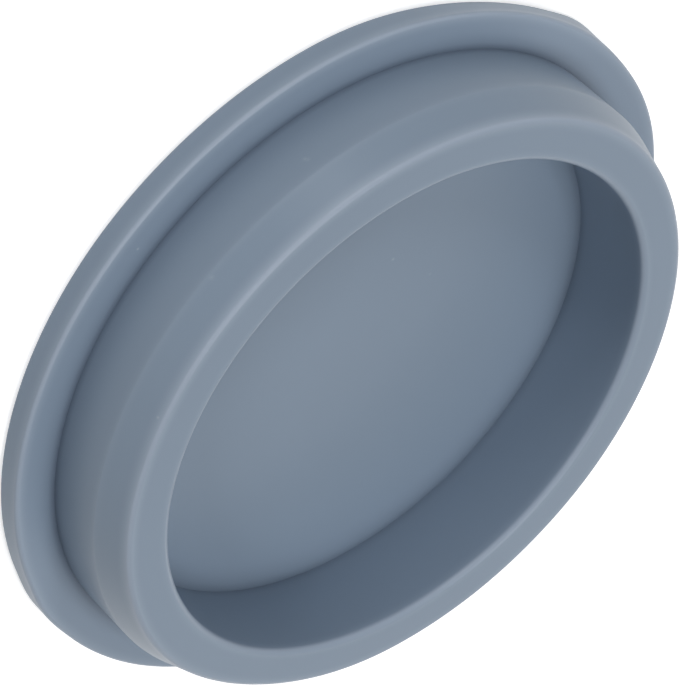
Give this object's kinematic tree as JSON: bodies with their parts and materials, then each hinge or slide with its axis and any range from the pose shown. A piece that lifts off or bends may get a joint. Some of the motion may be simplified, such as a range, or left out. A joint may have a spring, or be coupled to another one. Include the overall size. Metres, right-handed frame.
{
  "type": "silicone t-stopper",
  "caption": "Push-in silicone stopper: a flat round head covers a round port, and a short hollow stem with a tapered lead-in grips its bore.",
  "frame": {"origin": "centre of the head's flat outer face, on which the stopper stands", "axes": "+Z along the stopper's axis, from the head towards the open end of the stem; the stopper is round about it"},
  "size_m": [0.0562, 0.0562, 0.0097],
  "materials": {
    "silicone": "blue-grey moulded silicone rubber, satin-matt"
  },
  "bodies": {
    "root": {"stopper": "silicone"}
  },
  "joints": []
}
